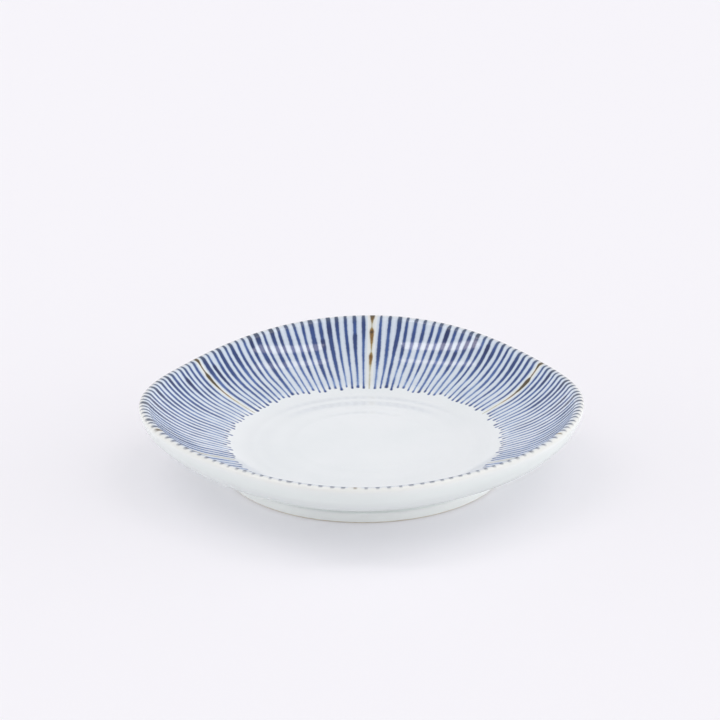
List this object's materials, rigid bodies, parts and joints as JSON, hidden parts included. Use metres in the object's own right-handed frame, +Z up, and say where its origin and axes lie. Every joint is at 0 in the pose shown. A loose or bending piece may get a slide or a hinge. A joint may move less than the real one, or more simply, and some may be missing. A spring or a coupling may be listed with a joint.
{
  "type": "side plate",
  "caption": "Shallow glazed porcelain side plate with a soft-square rim, a flat well, a round foot ring and painted radial blue strokes with iron-brown lines.",
  "frame": {"origin": "on the table, on the axis of the foot ring", "axes": "+Z up out of the dish, the four soft corners of the rim point to about +X, +Y, -X and -Y, and the picture looks along +Y"},
  "size_m": [0.1653, 0.1721, 0.0278],
  "materials": {
    "porcelain_dish": "fired porcelain, matt",
    "foot_ring": "fired porcelain, bare and toasted at the edge",
    "glaze_coat": "clear gloss glaze with a faint blue-green cast",
    "foot_well_glaze": "clear gloss glaze with a faint blue-green cast"
  },
  "bodies": {
    "root": {"porcelain_dish": "porcelain_dish", "foot_ring": "foot_ring", "glaze_coat": "glaze_coat", "foot_well_glaze": "foot_well_glaze"}
  },
  "joints": []
}
